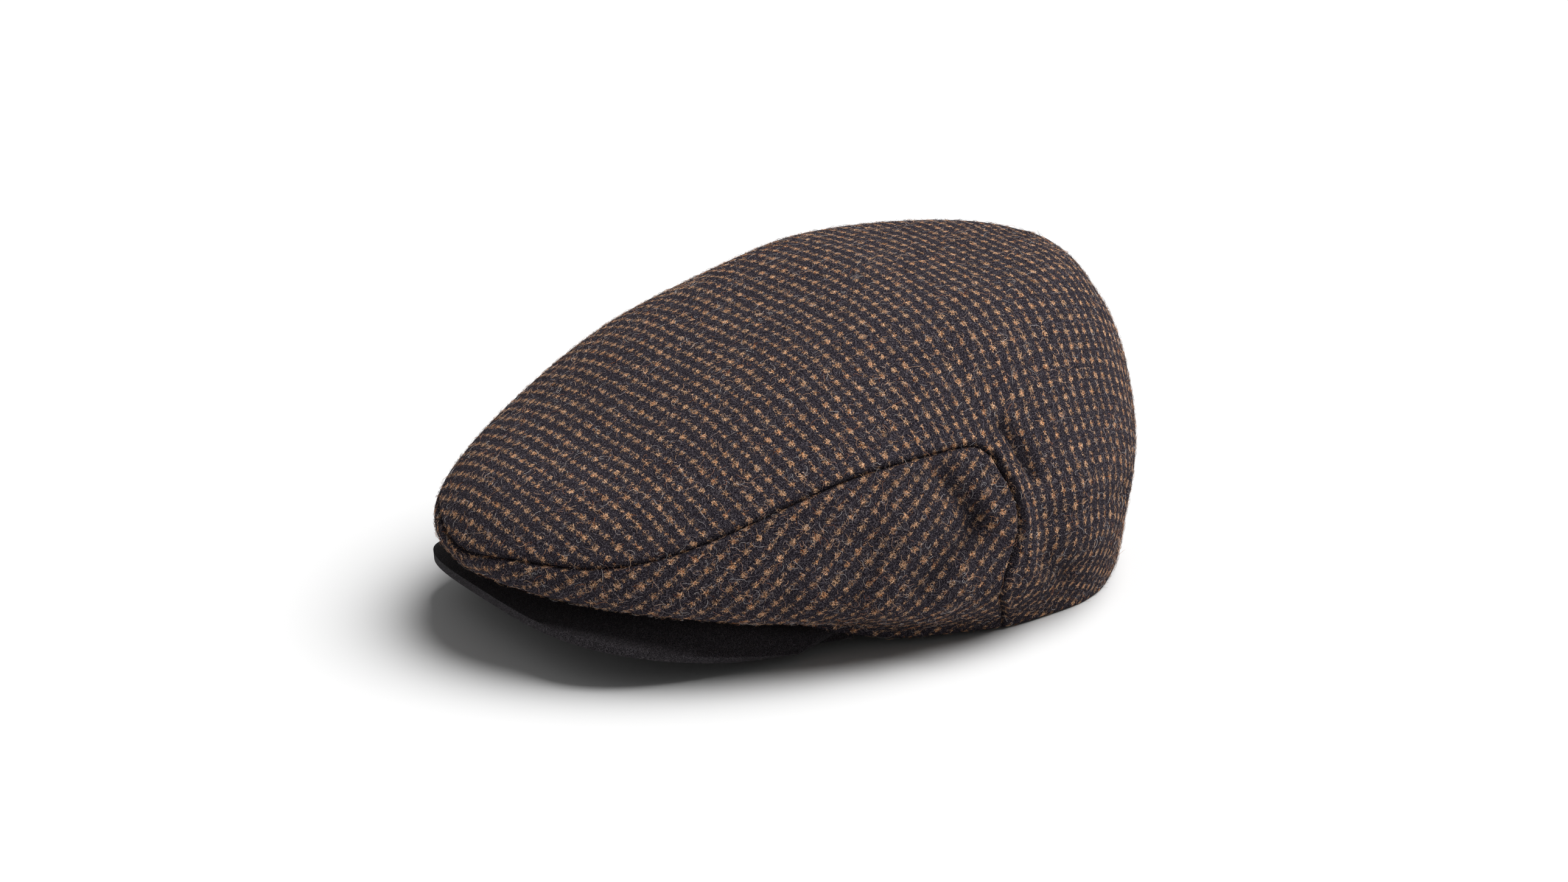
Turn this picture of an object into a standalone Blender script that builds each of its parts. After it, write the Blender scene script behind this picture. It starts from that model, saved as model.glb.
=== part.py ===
"""Ivy cap: a soft tweed crown of three panels over a stiff cloth-covered peak.

The cap faces -Y, the wearer's left is +X and the crown opens downwards.
The origin is under the middle of the cap, on the surface that it rests on.
"""

import math
from collections import namedtuple

import bmesh
import bpy
import numpy as np
from mathutils import Vector

MM = 0.001

# Driving sizes, in millimetres and degrees
CLOTH = 2.0  # wall of the crown: tweed with its backing
PEAK_BOARD = 3.2  # covered board of the peak
SEAM_GAP = 0.5  # groove left open between two panels
STITCH_GAP = 0.4  # space between the hem and the peak under it
WELD = 0.02  # vertices this close are one
EAR_ANGLE = 97.0  # upright seam behind the ear, from the centre front
HEM_TURN = 0.03  # share of the crown's level over which the cloth turns to the hem

# Grid cells: columns run round the cap, rows run from the top down to the hem
FRONT_COLUMNS = 24
BACK_COLUMNS = 18
TOP_ROWS = 12
LOW_ROWS = 10
PEAK_COLUMNS = 36
PEAK_ROWS = 5

# The crown is a stack of egg-shaped rings. Each row gives where a ring meets the
# centre front and the centre back (along Y), where it is widest, its half width,
# and its height at the front, at the side and at the back.
Ring = namedtuple("Ring", "level front back middle half_width z_front z_side z_back")
CROWN_RINGS = [
    Ring(0.00, 39, 39, 39, 0, 114, 114, 114),
    Ring(0.20, -2, 76, 39, 33, 105, 112, 114),
    Ring(0.40, -51, 108, 38, 66, 88, 103, 110),
    Ring(0.58, -93, 125, 10, 91, 68, 73, 89),
    Ring(0.74, -128, 134, 16, 101, 49, 42, 53),
    Ring(0.87, -123, 130, 21, 99.5, 28, 19, 25),
    Ring(0.97, -79, 129.5, 33, 87, 28, 4, 4),
    Ring(1.00, -77, 129, 33, 85.5, 24, 0, 0),
]

# Seam between the top panel and a side panel: its level at angles from the front.
# Behind the ear the rows only carry the grid on round the back.
SeamPoint = namedtuple("SeamPoint", "angle level")
SEAM = [
    SeamPoint(0, 0.795),
    SeamPoint(15, 0.778),
    SeamPoint(30, 0.765),
    SeamPoint(42, 0.727),
    SeamPoint(54, 0.655),
    SeamPoint(66, 0.602),
    SeamPoint(80, 0.576),
    SeamPoint(91, 0.575),
    SeamPoint(97, 0.600),
    SeamPoint(110, 0.612),
    SeamPoint(180, 0.615),
]

# The upright seam leans: degrees that it moves forward or back on its way down
SeamLean = namedtuple("SeamLean", "level lean")
SEAM_LEAN = [
    SeamLean(0.60, 0.0),
    SeamLean(0.67, 1.0),
    SeamLean(0.75, -1.5),
    SeamLean(0.84, -6.0),
    SeamLean(1.00, -8.0),
]

# Main folds and hollows of the soft cloth. Each runs between two places on the
# crown, given by angle and level; depth is inwards, so a bulge has less than 0.
Fold = namedtuple("Fold", "angle_a level_a angle_b level_b width depth")
FOLDS = [
    Fold(112, 0.44, 160, 0.50, 12, 1.5),  # where the top turns down to the back
    Fold(103, 0.57, 104, 0.64, 5, 2.5),  # tuck behind the top of the ear seam
    Fold(86, 0.63, 80, 0.70, 6, 2.0),  # slack cloth below the ear seam's corner
    Fold(82, 0.78, 74, 0.84, 6, 1.8),  # slack cloth above the hem
    Fold(112, 0.80, 118, 0.90, 14, 2.0),  # hollow of the rear side
    Fold(112, 0.62, 114, 0.70, 14, -1.5),  # fullness above that hollow
]

# Peak: its rim in plan and its heights. Both ends of the rim meet the hem.
PEAK_FRONT_Y = -127.8
PEAK_SQUARENESS = 3.4  # 2 is an ellipse, more is blunter
PEAK_LOW_Y = -46.0  # from here the rim sweeps up to the centre front and to the hem
PEAK_RIM_LOW = 1.7
PEAK_RIM_RISE = 21.5
PEAK_SWEEP = 1.5
PEAK_ARCH = 2.0  # how far the peak bows up between hem and rim
PEAK_END_ANGLE = 57.0  # where the peak's two ends meet the hem
PEAK_TUCK = 1.5  # how far the peak runs in under the hem's edge

TWEED_COLOUR = (0.035, 0.031, 0.032, 1.0)
PEAK_COLOUR = (0.010, 0.010, 0.012, 1.0)


def smooth_through(places, values, level_start=False):
    """A function for the smooth curve through the values; it can start level."""
    x = np.array(places, float)
    y = np.array(values, float)
    count = len(x)
    step = np.diff(x)
    slope = np.diff(y) / step
    matrix = np.zeros((count, count))
    right = np.zeros(count)
    matrix[0, 0] = 1.0
    if level_start:
        matrix[0, :2] = 2.0 * step[0], step[0]
        right[0] = 6.0 * slope[0]
    matrix[-1, -1] = 1.0
    for i in range(1, count - 1):
        matrix[i, i - 1 : i + 2] = step[i - 1], 2.0 * (step[i - 1] + step[i]), step[i]
        right[i] = 6.0 * (slope[i] - slope[i - 1])
    bend = np.linalg.solve(matrix, right)

    def at(place):
        i = int(np.clip(np.searchsorted(x, place) - 1, 0, count - 2))
        after = (place - x[i]) / step[i]
        before = 1.0 - after
        curved = bend[i] * (before**3 - before) + bend[i + 1] * (after**3 - after)
        return before * y[i] + after * y[i + 1] + curved * step[i] ** 2 / 6.0

    return at


RING_CURVES = {
    name: smooth_through(
        [ring.level for ring in CROWN_RINGS],
        [getattr(ring, name) for ring in CROWN_RINGS],
        level_start=name.startswith("z_"),
    )
    for name in Ring._fields[1:]
}
seam_level = smooth_through([p.angle for p in SEAM], [p.level for p in SEAM], level_start=True)
seam_lean = smooth_through([p.level for p in SEAM_LEAN], [p.lean for p in SEAM_LEAN])


def smooth_crown(angle, level):
    """Point on the crown's outer face, in millimetres, before folds are pressed in."""
    ring = {name: curve(level) for name, curve in RING_CURVES.items()}
    along = math.cos(math.radians(angle))
    across = math.sin(math.radians(angle))
    end = "front" if along > 0 else "back"
    x = ring["half_width"] * across
    y = ring["middle"] + (ring[end] - ring["middle"]) * abs(along)
    z = ring["z_side"] + (ring["z_" + end] - ring["z_side"]) * along**2
    return Vector((x, y, z))


def outward(angle, level):
    """Unit vector out of the crown's face."""
    step_angle, step_level = 0.5, 0.004
    level = min(max(level, step_level), 1.0 - step_level)
    round_cap = smooth_crown(angle + step_angle, level) - smooth_crown(angle - step_angle, level)
    down = smooth_crown(angle, level + step_level) - smooth_crown(angle, level - step_level)
    return down.cross(round_cap).normalized()


def fold_depth(point, side):
    """Depth of all folds at a point on the given side of the cap, in millimetres."""
    depth = 0.0
    for fold in FOLDS:
        start = smooth_crown(side * fold.angle_a, fold.level_a)
        end = smooth_crown(side * fold.angle_b, fold.level_b)
        run = end - start
        share = min(max((point - start).dot(run) / run.length_squared, 0.0), 1.0)
        away = (point - start - share * run).length / fold.width
        depth += fold.depth * math.exp(-away * away)
    return depth


def crown_point(angle, level):
    """Point on the crown's outer face, folds included, in metres."""
    point = smooth_crown(angle, level)
    side = 1 if angle >= 0 else -1
    depth = fold_depth(point, side)
    return (point - depth * outward(angle, level)) * MM


def wall_direction(angle, level):
    """Way into the cloth's thickness: square to the cloth, and level at the hem."""
    inwards = -outward(angle, level)
    inwards.z *= min((1.0 - level) / HEM_TURN, 1.0)
    return inwards.normalized()


def column_angle(column):
    """Angle of a grid column, counted from the centre front to either side."""
    side = -1 if column < 0 else 1
    count = abs(column)
    if count <= FRONT_COLUMNS:
        return side * EAR_ANGLE * count / FRONT_COLUMNS
    behind = (count - FRONT_COLUMNS) / BACK_COLUMNS
    return side * (EAR_ANGLE + (180.0 - EAR_ANGLE) * behind)


def place_on_crown(column, row):
    """Angle and level of a grid crossing. Columns lean to follow the upright seam."""
    angle = column_angle(column)
    seam = seam_level(abs(angle))
    if row <= TOP_ROWS:
        return angle, seam * row / TOP_ROWS
    level = seam + (1.0 - seam) * (row - TOP_ROWS) / LOW_ROWS
    side = -1 if angle < 0 else 1
    reach = min(abs(angle) / EAR_ANGLE, (180.0 - abs(angle)) / (180.0 - EAR_ANGLE))
    lean = seam_lean(max(level, SEAM_LEAN[0].level)) * reach
    return angle + side * lean, level


def open_groove(angle, level, down, forward):
    """Moves an edge crossing half a groove down or up the crown, and fore or aft."""
    here = smooth_crown(angle, level)
    per_level = (smooth_crown(angle, level - 0.01) - here).length / 0.01
    per_degree = (smooth_crown(angle + 1.0, level) - here).length
    side = -1 if angle < 0 else 1
    level += down * SEAM_GAP / 2.0 / per_level
    angle -= side * forward * SEAM_GAP / 2.0 / per_degree
    return angle, level


def grid_between(columns, rows):
    """A bmesh grid of columns by rows cells, whose vertices lie at whole numbers."""
    bm = bmesh.new()
    bmesh.ops.create_grid(bm, x_segments=columns, y_segments=rows, size=0.5)
    bmesh.ops.translate(bm, verts=bm.verts, vec=(0.5, 0.5, 0.0))
    bmesh.ops.scale(bm, verts=bm.verts, vec=(columns, rows, 1.0))
    return bm


def new_object(name, bm, material, collection):
    """Puts a finished surface in the scene, with its one material."""
    mesh = bpy.data.meshes.new(name)
    bm.to_mesh(mesh)
    bm.free()
    mesh.materials.append(material)
    mesh.shade_smooth()
    made = bpy.data.objects.new(name, mesh)
    collection.objects.link(made)
    return made


def crown_panel(name, bm, places, material, collection):
    """Lays a grid on the crown, places being angle and level of its vertices in order,
    and gives it the cloth's thickness, with the raw edges closed."""
    lining = bm.verts.layers.float_vector.new("inner_wall")
    for vert, (angle, level) in zip(bm.verts, places):
        vert.co = crown_point(angle, level)
        vert[lining] = vert.co + CLOTH * MM * wall_direction(angle, level)
    bmesh.ops.remove_doubles(bm, verts=bm.verts, dist=WELD * MM)
    bmesh.ops.recalc_face_normals(bm, faces=bm.faces)
    edges = [edge for edge in bm.edges if edge.is_boundary]
    copied = bmesh.ops.duplicate(bm, geom=bm.verts[:] + bm.edges[:] + bm.faces[:])
    for vert in (part for part in copied["geom"] if isinstance(part, bmesh.types.BMVert)):
        vert.co = vert[lining]
    inner = [part for part in copied["geom"] if isinstance(part, bmesh.types.BMFace)]
    bmesh.ops.reverse_faces(bm, faces=inner)
    twin = copied["vert_map"]
    for edge in edges:
        first, second = edge.verts
        bm.faces.new((first, second, twin[second], twin[first]))
    bmesh.ops.recalc_face_normals(bm, faces=bm.faces)
    return new_object(name, bm, material, collection)


def make_top_panel(material, collection):
    """Top panel: front edge, over the top, then down the back and the rear sides."""
    half = FRONT_COLUMNS + BACK_COLUMNS
    bm = grid_between(2 * half, TOP_ROWS + LOW_ROWS)
    cut_away = [
        face
        for face in bm.faces
        if face.calc_center_median().y > TOP_ROWS
        and abs(face.calc_center_median().x - half) < FRONT_COLUMNS
    ]
    bmesh.ops.delete(bm, geom=cut_away, context="FACES")
    places = []
    for vert in bm.verts:
        column, row = round(vert.co.x) - half, round(vert.co.y)
        angle, level = place_on_crown(column, row)
        on_top_seam = row == TOP_ROWS and abs(column) <= FRONT_COLUMNS
        on_ear_seam = row >= TOP_ROWS and abs(column) == FRONT_COLUMNS
        if on_top_seam or on_ear_seam:
            angle, level = open_groove(angle, level, -on_top_seam, -on_ear_seam)
        places.append((angle, level))
    return crown_panel("crown_top", bm, places, material, collection)


def make_side_panel(name, side, material, collection):
    """Leaf-shaped side panel, from the centre front to the upright seam at the ear."""
    bm = grid_between(FRONT_COLUMNS, LOW_ROWS)
    places = []
    for vert in bm.verts:
        column, row = round(vert.co.x), round(vert.co.y)
        angle, level = place_on_crown(column, TOP_ROWS + row)
        forward = (column == FRONT_COLUMNS) - (column == 0)
        angle, level = open_groove(angle, level, row == 0, forward)
        places.append((side * angle, level))
    return crown_panel(name, bm, places, material, collection)


def peak_root(share, tuck=PEAK_TUCK):
    """Inner edge of the peak's upper face, just under the hem of the crown."""
    hem = smooth_crown(PEAK_END_ANGLE * share, 1.0)
    inwards = Vector((-hem.x, CROWN_RINGS[-1].middle - hem.y, 0.0)).normalized()
    return hem + tuck * inwards - Vector((0.0, 0.0, STITCH_GAP))


def peak_rim(share):
    """Outer edge of the peak's upper face; share runs from -1 to 1 round the peak."""
    end = peak_root(1.0, tuck=0.0)
    turn = math.radians(90.0 * abs(share))
    power = 2.0 / PEAK_SQUARENESS
    x = math.copysign(end.x * math.sin(turn) ** power, share)
    y = end.y + (PEAK_FRONT_Y - end.y) * math.cos(turn) ** power
    forward = max(PEAK_LOW_Y - y, 0.0) / (PEAK_LOW_Y - PEAK_FRONT_Y)
    rearward = max(y - PEAK_LOW_Y, 0.0) / (end.y - PEAK_LOW_Y)
    z = PEAK_RIM_LOW + PEAK_RIM_RISE * forward**PEAK_SWEEP + (end.z - PEAK_RIM_LOW) * rearward**2
    return Vector((x, y, z))


def make_peak(material, collection):
    """Peak: a crescent board that bows down to both sides, covered in black cloth."""
    bm = grid_between(PEAK_COLUMNS, PEAK_ROWS)
    for vert in bm.verts:
        share = 2.0 * vert.co.x / PEAK_COLUMNS - 1.0
        out = vert.co.y / PEAK_ROWS
        point = peak_root(share).lerp(peak_rim(share), out)
        point.z += PEAK_ARCH * (1.0 - share**4) * math.sin(math.pi * out)
        vert.co = point * MM
    bmesh.ops.reverse_faces(bm, faces=bm.faces)
    peak = new_object("peak", bm, material, collection)
    board = peak.modifiers.new("board", "SOLIDIFY")
    board.thickness = PEAK_BOARD * MM
    board.offset = -1.0
    board.use_even_offset = True
    return peak


def cloth_material(name, colour, roughness):
    material = bpy.data.materials.new(name)
    material.use_nodes = True
    shader = material.node_tree.nodes["Principled BSDF"]
    shader.inputs["Base Color"].default_value = colour
    shader.inputs["Roughness"].default_value = roughness
    shader.inputs["Metallic"].default_value = 0.0
    return material


def main():
    for old in list(bpy.data.objects):
        bpy.data.objects.remove(old)
    collection = bpy.data.collections.new("ivy_cap")
    bpy.context.scene.collection.children.link(collection)
    tweed = cloth_material("tweed", TWEED_COLOUR, 0.95)
    nap = cloth_material("black_nap", PEAK_COLOUR, 0.9)
    make_top_panel(tweed, collection)
    make_side_panel("side_panel_left", 1, tweed, collection)
    make_side_panel("side_panel_right", -1, tweed, collection)
    make_peak(nap, collection)


main()
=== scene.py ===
# %% [markdown]
# # An ivy cap in brushed tweed
#
# The cap lies on a table, on its hem and on the rim of its peak. Its crown is three
# pieces of tweed: one long panel over the top and down the back, and a leaf-shaped
# panel on each side. The peak is a stiff board in plain black wool.
#
# The measured solids come in first. They settle every place and size of the cloth made
# here.

import math

import bmesh
import bpy
import numpy as np
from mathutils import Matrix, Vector


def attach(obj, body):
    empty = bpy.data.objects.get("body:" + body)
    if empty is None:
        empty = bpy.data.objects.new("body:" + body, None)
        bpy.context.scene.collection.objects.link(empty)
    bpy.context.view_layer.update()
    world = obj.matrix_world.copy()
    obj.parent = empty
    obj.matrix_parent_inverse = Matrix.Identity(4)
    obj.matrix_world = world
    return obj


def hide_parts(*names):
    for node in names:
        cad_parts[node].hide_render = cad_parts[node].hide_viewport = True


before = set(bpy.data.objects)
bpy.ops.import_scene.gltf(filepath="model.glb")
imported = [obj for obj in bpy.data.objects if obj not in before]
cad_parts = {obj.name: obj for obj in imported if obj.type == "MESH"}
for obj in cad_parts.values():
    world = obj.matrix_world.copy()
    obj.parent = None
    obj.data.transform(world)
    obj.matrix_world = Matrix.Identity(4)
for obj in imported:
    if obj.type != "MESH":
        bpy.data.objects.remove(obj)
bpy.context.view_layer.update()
MM = 0.001
print("measured nodes:", sorted(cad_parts))

# %% [markdown]
# ## The form of the crown
#
# A pattern cutter's block for a cap is a stack of egg-shaped rings: small and round on
# top, long and low towards the front, and the size of the head at the hem. One could
# model such a form from a sculpted sphere, but then the panels, their seams and the
# cloth's own grain would have no common measure. Here a table gives a few rings, a
# smooth curve runs through each of their sizes, and every place on the crown has an
# angle, counted from the centre front, and a level, from 0 on top to 1 at the hem.

# %% A smooth curve through a few values


def smooth_through(places, values, level_start=False):
    """A function for the smooth curve through the values; it can start level."""
    x = np.array(places, float)
    y = np.array(values, float)
    count = len(x)
    step = np.diff(x)
    slope = np.diff(y) / step
    matrix = np.zeros((count, count))
    right = np.zeros(count)
    matrix[0, 0] = 1.0
    if level_start:
        matrix[0, :2] = 2.0 * step[0], step[0]
        right[0] = 6.0 * slope[0]
    matrix[-1, -1] = 1.0
    for i in range(1, count - 1):
        matrix[i, i - 1 : i + 2] = step[i - 1], 2.0 * (step[i - 1] + step[i]), step[i]
        right[i] = 6.0 * (slope[i] - slope[i - 1])
    bend = np.linalg.solve(matrix, right)

    def at(place):
        place = np.asarray(place, float)
        i = np.clip(np.searchsorted(x, place) - 1, 0, count - 2)
        after = (place - x[i]) / step[i]
        before = 1.0 - after
        curved = bend[i] * (before**3 - before) + bend[i + 1] * (after**3 - after)
        return before * y[i] + after * y[i + 1] + curved * step[i] ** 2 / 6.0

    return at


example = smooth_through([0, 1, 2], [0, 1, 0])
print("a smooth curve through 0, 1 and 0, read halfway to its top:", round(float(example(0.5)), 3))

# %% The rings, in millimetres
RING_NAMES = ("front", "back", "middle", "half_width", "z_front", "z_side", "z_back")
RINGS = {
    0.00: (39, 39, 39, 0, 114, 114, 114),
    0.20: (-2, 76, 39, 33, 105, 112, 114),
    0.40: (-51, 108, 38, 66, 88, 103, 110),
    0.58: (-93, 125, 10, 91, 68, 73, 89),
    0.74: (-128, 134, 16, 101, 49, 42, 53),
    0.87: (-123, 130, 21, 99.5, 28, 19, 25),
    0.97: (-79, 129.5, 33, 87, 28, 4, 4),
    1.00: (-77, 129, 33, 85.5, 24, 0, 0),
}
RING_CURVES = {
    name: smooth_through(
        list(RINGS),
        [sizes[i] for sizes in RINGS.values()],
        level_start=name.startswith("z_"),
    )
    for i, name in enumerate(RING_NAMES)
}
widest = 2 * max(sizes[RING_NAMES.index("half_width")] for sizes in RINGS.values())
print("rings:", len(RINGS), "and the widest is", widest, "mm across")

# %% The crown's smooth face


def smooth_crown(angle, level):
    """Points on the crown's outer face, in millimetres, before its folds."""
    ring = {name: curve(level) for name, curve in RING_CURVES.items()}
    along = np.cos(np.radians(angle))
    across = np.sin(np.radians(angle))
    end = np.where(along > 0, ring["front"], ring["back"])
    z_end = np.where(along > 0, ring["z_front"], ring["z_back"])
    x = ring["half_width"] * across
    y = ring["middle"] + (end - ring["middle"]) * np.abs(along)
    z = ring["z_side"] + (z_end - ring["z_side"]) * along**2
    return np.stack([x, y, z], -1)


def unit(vectors):
    """Each vector at length 1."""
    return vectors / np.maximum(np.linalg.norm(vectors, axis=-1, keepdims=True), 1e-9)


def outward(angle, level):
    """Unit vectors out of the crown's smooth face."""
    step_angle, step_level = 0.5, 0.004
    level = np.clip(level, step_level, 1.0 - step_level)
    turn = smooth_crown(angle + step_angle, level) - smooth_crown(angle - step_angle, level)
    down = smooth_crown(angle, level + step_level) - smooth_crown(angle, level - step_level)
    return unit(np.cross(down, turn))


print("centre front of the hem, in millimetres:", smooth_crown(0.0, 1.0).round(1))

# %% [markdown]
# ## Folds, hollows and seams
#
# Soft cloth keeps the dents of the last hand that held it. Simulating them would give
# other dents on each try, so each fold is named here by its two ends, its width and
# its depth, and pressed into the smooth form. A seam is pressed in the same way: both
# panels turn down into it, and the turned-in edge behind makes the cloth beside it
# stand a little proud. Sculpting would be freer, but a list can be read and changed.

# %% Folds: two ends as angle and level, then width and depth in millimetres
FOLDS = [
    (112, 0.44, 160, 0.50, 12.0, 1.5),
    (100.5, 0.565, 104, 0.655, 2.6, 3.4),
    (87, 0.625, 90, 0.70, 5.4, 3.6),
    (89, 0.715, 80, 0.81, 5.6, 3.0),
    (85, 0.79, 82, 0.86, 4.0, -1.5),
    (93, 0.66, 93.5, 0.73, 4.0, -1.0),
    (98.5, 0.72, 98.5, 0.82, 4.5, -1.3),
    (103, 0.81, 109, 0.89, 8.0, 2.8),
    (103, 0.735, 132, 0.79, 4.0, 1.6),
    (72, 0.73, 70, 0.82, 7.0, 1.6),
    (60, 0.83, 68, 0.90, 7.0, 1.3),
    (74, 0.962, 92, 0.962, 1.1, 0.9),
    (112, 0.62, 114, 0.70, 14.0, -1.0),
    (64, 0.42, 76, 0.42, 26.0, 2.6),
    (158, 0.53, 162, 0.60, 20.0, -0.8),
    (150, 0.70, 141, 0.86, 16.0, 1.2),
    (115, 0.99, 121, 0.99, 15.0, -2.0),
]
FOLD_ROUNDNESS = 1.6


def fold_depth(points, side, widest=1000.0):
    """How deep the folds are at each point, up to the widest that counts; side is 1 on
    the left and -1 on the right."""
    depth = np.zeros(points.shape[:-1])
    for angle_a, level_a, angle_b, level_b, width, deep in FOLDS:
        if width > widest:
            continue
        for hand in (1, -1):
            start = smooth_crown(hand * angle_a, level_a)
            run = smooth_crown(hand * angle_b, level_b) - start
            share = np.clip((points - start) @ run / (run @ run), 0.0, 1.0)
            away = np.linalg.norm(points - start - share[..., None] * run, axis=-1) / width
            depth += np.where(side == hand, deep * np.exp(-(away**FOLD_ROUNDNESS)), 0.0)
    return depth


print("folds and ridges on each side:", len(FOLDS))

# %% Where the seams run: levels of the top seam by angle, and degrees of lean by level
EAR_ANGLE, BACK_SEAM_TOP = 97.0, 0.36
SEAM_LEVELS = {
    0: 0.795,
    15: 0.778,
    30: 0.765,
    42: 0.727,
    54: 0.655,
    66: 0.602,
    80: 0.580,
    88: 0.576,
    92: 0.577,
    95: 0.586,
    97: 0.603,
    110: 0.614,
    180: 0.615,
}
EAR_LEAN = {0.60: 0.0, 0.67: 1.6, 0.75: -1.2, 0.84: -5.2, 1.00: -7.0}
seam_level = smooth_through(list(SEAM_LEVELS), list(SEAM_LEVELS.values()), level_start=True)
ear_lean = smooth_through(list(EAR_LEAN), list(EAR_LEAN.values()))


def lean_at(angle, level):
    """Degrees by which the grid leans forward or back to follow the upright ear seam."""
    reach = np.minimum(np.abs(angle) / EAR_ANGLE, (180.0 - np.abs(angle)) / (180.0 - EAR_ANGLE))
    return np.sign(angle) * ear_lean(np.maximum(level, min(EAR_LEAN))) * reach


def seam_lines(side):
    """Points along the top seam, the ear seam, the front seam and the back seam."""
    angles = np.linspace(0.0, EAR_ANGLE, 260)
    top = smooth_crown(side * angles, seam_level(angles))
    levels = np.linspace(float(seam_level(EAR_ANGLE)), 1.0, 160)
    ear = smooth_crown(side * EAR_ANGLE + lean_at(side * EAR_ANGLE, levels), levels)
    front = smooth_crown(0.0, np.linspace(float(seam_level(0.0)), 1.0, 80))
    back = smooth_crown(180.0, np.linspace(BACK_SEAM_TOP, 1.0, 200))
    return {"top": top, "ear": ear, "front": front, "back": back}


for seam, line in seam_lines(1).items():
    print(f"{seam} seam: {np.linalg.norm(np.diff(line, axis=0), axis=1).sum():.0f} mm long")

# %% Each groove's depth and width; each hump's height, distance and width, in millimetres
GROOVES = {"top": (1.3, 0.70), "ear": (1.8, 0.95), "front": (0.7, 0.60), "back": (1.3, 0.70)}
SHOULDER = (0.38, 2.6, 1.9)
EAR_RIDGE = (0.75, 2.2, 1.2)
EAR_STITCH = (-0.50, 4.5, 0.8)


def distance_to(line, points):
    """Distance from each point to the nearest point of a finely divided line."""
    flat = points.reshape(-1, 3)
    nearest = np.full(len(flat), 1e9)
    for part in np.array_split(line, max(1, len(line) // 40)):
        gap = np.linalg.norm(flat[:, None, :] - part[None], axis=-1).min(1)
        nearest = np.minimum(nearest, gap)
    return nearest.reshape(points.shape[:-1])


def hump(distance, height, middle, width):
    """A soft hump beside a seam, at its height at the middle distance."""
    return height * np.exp(-(((distance - middle) / width) ** 2))


def seam_relief(kind, distance, ridge):
    """Height beside a seam: a narrow groove with a soft shoulder next to it. Behind the
    ear seam the turned-in edges are pressed back and stitched down, as a ridge."""
    depth, width = GROOVES[kind]
    groove = np.exp(-((distance / width) ** 2))
    shoulder = hump(distance, *SHOULDER)
    if ridge and kind == "ear":
        shoulder = shoulder + hump(distance, *EAR_RIDGE) + hump(distance, *EAR_STITCH)
    return shoulder * (1.0 - groove) - depth * groove


for kind in GROOVES:
    print(f"{kind} seam, 3 mm away: {float(seam_relief(kind, 3.0, ridge=True)):+.2f} mm")

# %% The finished face of the crown, in metres
# The grooves run out above the hem, and the hem rises a little in front of the ear.
GROOVE_ENDS = 0.05
HEM_LIFT, HEM_LIFT_ANGLE, HEM_LIFT_SPREAD, HEM_LIFT_LEVEL = 1.8, 81.0, 9.0, 0.90


def crown_face(angle, level, seams, ridge=False):
    """Points of the cloth's outer face; seams are the lines that this panel ends in."""
    angle, level = np.broadcast_arrays(np.asarray(angle, float), np.asarray(level, float))
    smooth = smooth_crown(angle, level)
    side = np.where(angle >= 0, 1, -1)
    height = -fold_depth(smooth, side)
    above_hem = np.clip((1.0 - level) / GROOVE_ENDS, 0.0, 1.0)
    for name, line in seams.items():
        relief = seam_relief(name.split()[0], distance_to(line, smooth), ridge)
        height = height + relief * above_hem
    face = smooth + height[..., None] * outward(angle, level)
    near = np.exp(-(((np.abs(angle) - HEM_LIFT_ANGLE) / HEM_LIFT_SPREAD) ** 2))
    low = np.clip((level - HEM_LIFT_LEVEL) / (1.0 - HEM_LIFT_LEVEL), 0.0, 1.0)
    face[..., 2] += HEM_LIFT * near * low**2
    return face * MM


print("top of the crown, in metres:", crown_face(0.0, 0.0, {}).round(4))

# %% [markdown]
# ## Painted shade in the folds
#
# Where cloth lies in a fold or is caught in a seam, it lies in shade, and here that
# shade is also painted into its colour: painted shade. One could paint that on by hand,
# but here the folds and seams are known as numbers. So each vertex notes how deep it
# lies, from 0 to 1, and the cloth's material and its loose fibres read that note as an
# attribute and darken by it.

# %% How much painted shade a place on the cloth gets
# Painted shade: folds up to the widest count, and are full at the deepest; along a seam it reaches
# its share and fades over its width. Widths and depths in millimetres.
WIDEST_PAINTED_SHADE_FOLD, FULL_PAINTED_SHADE_DEPTH = 9.0, 4.5
SEAM_PAINTED_SHADE, SEAM_PAINTED_SHADE_WIDTH = 0.7, 1.3


def painted_shade_of(angle, level, seams):
    """How much painted shade a place gets, by how far it lies in a fold or seam, from 0 to 1."""
    angle, level = np.broadcast_arrays(np.asarray(angle, float), np.asarray(level, float))
    smooth = smooth_crown(angle, level)
    side = np.where(angle >= 0, 1, -1)
    painted_shade = fold_depth(smooth, side, widest=WIDEST_PAINTED_SHADE_FOLD) / FULL_PAINTED_SHADE_DEPTH
    for name, line in seams.items():
        distance = distance_to(line, smooth)
        painted_shade = np.maximum(painted_shade, SEAM_PAINTED_SHADE * np.exp(-((distance / SEAM_PAINTED_SHADE_WIDTH) ** 2)))
    return np.clip(painted_shade, 0.0, 1.0)


print("shade on the ear seam:", painted_shade_of(EAR_ANGLE, 0.60, seam_lines(1)).round(2))

# %% [markdown]
# ## The panels
#
# Each panel starts as a flat grid, as cloth does. A Subdivision Surface over a coarse
# cage would be lighter, but it rounds off the sharp turn at a seam. So the grid is fine:
# its columns run round the cap and its rows run down to the hem, closer together beside
# the seams, where the cloth turns most. Past the hem the rows go on: they turn under in
# a half round and run back up on the inside, as a turned hem does.

# %% Grid lines that crowd towards seams
CROWDING, SHARPNESS = 0.16, 6


def crowd_end(share):
    """Shares from 0 to 1, moved so that they lie closer together near 1."""
    return share * (1.0 + CROWDING) - CROWDING * share**SHARPNESS


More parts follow.
